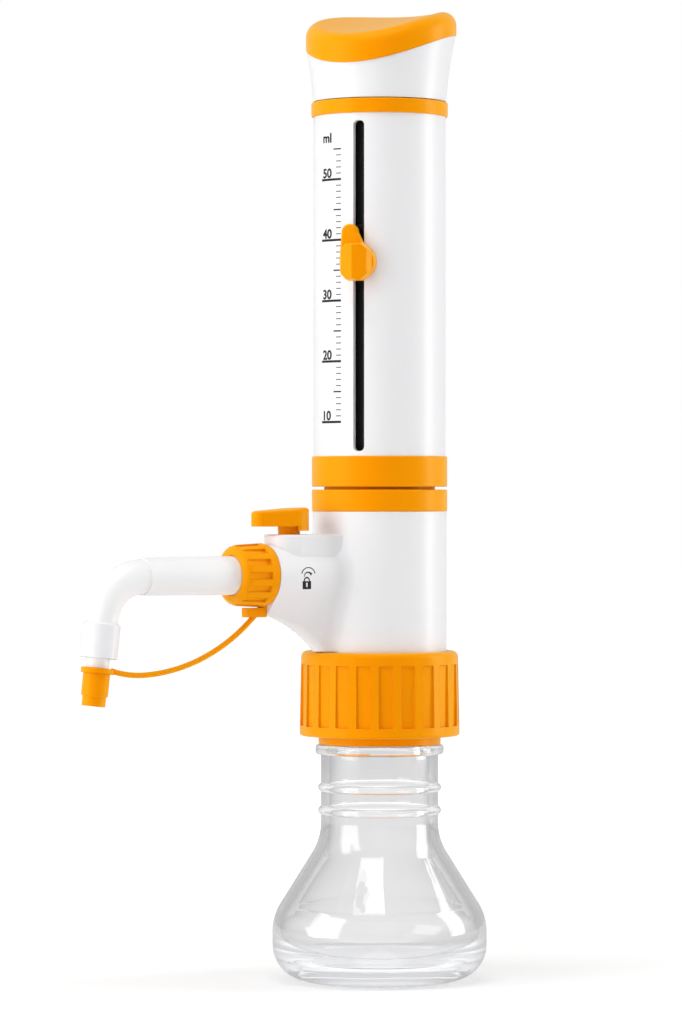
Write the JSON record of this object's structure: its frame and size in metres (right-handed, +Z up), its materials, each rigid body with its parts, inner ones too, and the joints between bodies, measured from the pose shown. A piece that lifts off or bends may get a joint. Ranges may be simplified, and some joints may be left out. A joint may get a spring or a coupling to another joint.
{
  "type": "bottle-top dispenser",
  "caption": "Bottle-top liquid dispenser on a clear glass bottle: slanted plunger head, slotted scale housing with sliding volume stop, ribbed collar, stopcock lever, bent spout and capped tip.",
  "frame": {"origin": "centre of the bottle's foot, on the surface it stands on", "axes": "+Z up along the instrument's axis, -X along the spout, -Y the side the scale turns to"},
  "size_m": [0.1596, 0.075, 0.3391],
  "materials": {
    "orange_plastic": "injection-moulded polypropylene, satin gloss",
    "white_plastic": "injection-moulded, smooth satin gloss",
    "white_tube": "fluoropolymer tube, waxy sheen",
    "dark_plastic": "black, fine satin",
    "bottle_glass": "clear flint glass",
    "cylinder_glass": "clear precision-bore borosilicate glass",
    "ceramic": "ground and polished oxide ceramic, off-white",
    "seal_rubber": "pale silicone",
    "steel": "fine turned stainless steel"
  },
  "bodies": {
    "bottle_stand": {"glass_bottle": "bottle_glass", "bottle_adapter": "orange_plastic", "bottle_seal": "seal_rubber"},
    "seat": {"head_seal": "seal_rubber"},
    "valve_head": {"valve_block": "white_plastic", "block_ring": "orange_plastic", "swivel_clip": "steel", "glass_cylinder": "cylinder_glass", "cylinder_seal": "seal_rubber", "collar_retaining_ring": "white_tube", "intake_valve_body": "white_tube", "discharge_valve_seat": "white_tube", "discharge_spring": "steel", "stem_bush": "white_plastic", "plug_seal": "seal_rubber", "union_nut": "orange_plastic", "tube_seal": "seal_rubber", "tube_sleeve": "white_tube", "discharge_tube": "white_tube", "nozzle_coupler": "white_plastic", "nozzle_tip": "white_tube", "cap_tether": "orange_plastic", "tether_ring": "orange_plastic"},
    "collar": {"collar_nut": "orange_plastic"},
    "stopcock": {"valve_lever": "orange_plastic", "stopcock_plug": "white_tube"},
    "spout_cap": {"tip_cap": "orange_plastic"},
    "intake_check": {"intake_ball": "ceramic"},
    "discharge_check": {"discharge_ball": "ceramic"},
    "housing": {"housing_ring": "orange_plastic", "housing_tube": "white_plastic", "top_guide_ring": "orange_plastic"},
    "plunger": {"handle_body": "white_plastic", "handle_cap": "orange_plastic", "plunger_sleeve": "dark_plastic", "piston_rod": "steel", "ceramic_piston": "ceramic", "piston_screw": "steel"},
    "pointer": {"volume_pointer": "orange_plastic", "clamp_plate": "steel"},
    "clamp": {"clamp_knob": "orange_plastic"}
  },
  "joints": [
    {"name": "instrument_lift", "type": "slide", "parent": "bottle_stand", "child": "seat", "axis": [0, 0, 1], "range_m": [0, 0.014]},
    {"name": "instrument_swivel", "type": "hinge", "parent": "seat", "child": "valve_head", "pos_m": [0, 0, 0.1], "axis": [0, 0, 1], "continuous": true},
    {"name": "collar_turn", "type": "hinge", "parent": "valve_head", "child": "collar", "pos_m": [0, 0, 0.1], "axis": [0, 0, 1], "range_deg": [0, 1260.5]},
    {"name": "housing_swivel", "type": "hinge", "parent": "valve_head", "child": "housing", "pos_m": [0, 0, 0.175], "axis": [0, 0, 1], "continuous": true},
    {"name": "plunger_lift", "type": "slide", "parent": "housing", "child": "plunger", "axis": [0, 0, 1], "range_m": [0, 0.0795]},
    {"name": "volume_slide", "type": "slide", "parent": "housing", "child": "pointer", "axis": [0, 0, 1], "range_m": [-0.0588, 0.0357]},
    {"name": "clamp_turn", "type": "hinge", "parent": "pointer", "child": "clamp", "pos_m": [0, 0, 0.2499], "axis": [-0.8059, -0.592, 0], "range_deg": [0, 540]},
    {"name": "valve_turn", "type": "hinge", "parent": "valve_head", "child": "stopcock", "pos_m": [-0.0384, 0, 0.156], "axis": [0, 0, 1], "range_deg": [0, 90]},
    {"name": "cap_pull", "type": "slide", "parent": "valve_head", "child": "spout_cap", "axis": [-0.1201, 0, -0.9928], "range_m": [0, 0.014], "deforming": ["cap_tether"]},
    {"name": "intake_ball_lift", "type": "slide", "parent": "valve_head", "child": "intake_check", "axis": [0, 0, 1], "range_m": [0, 0.0015]},
    {"name": "discharge_ball_lift", "type": "slide", "parent": "valve_head", "child": "discharge_check", "axis": [-1, 0, 0], "range_m": [0, 0.001], "stiffness_N_per_m": 20, "springref_m": -0.001, "deforming": ["discharge_spring"]}
  ],
  "couplings": [
    {"joint": "collar_turn", "follows": "instrument_lift", "rad_per_m": 1570.8}
  ]
}
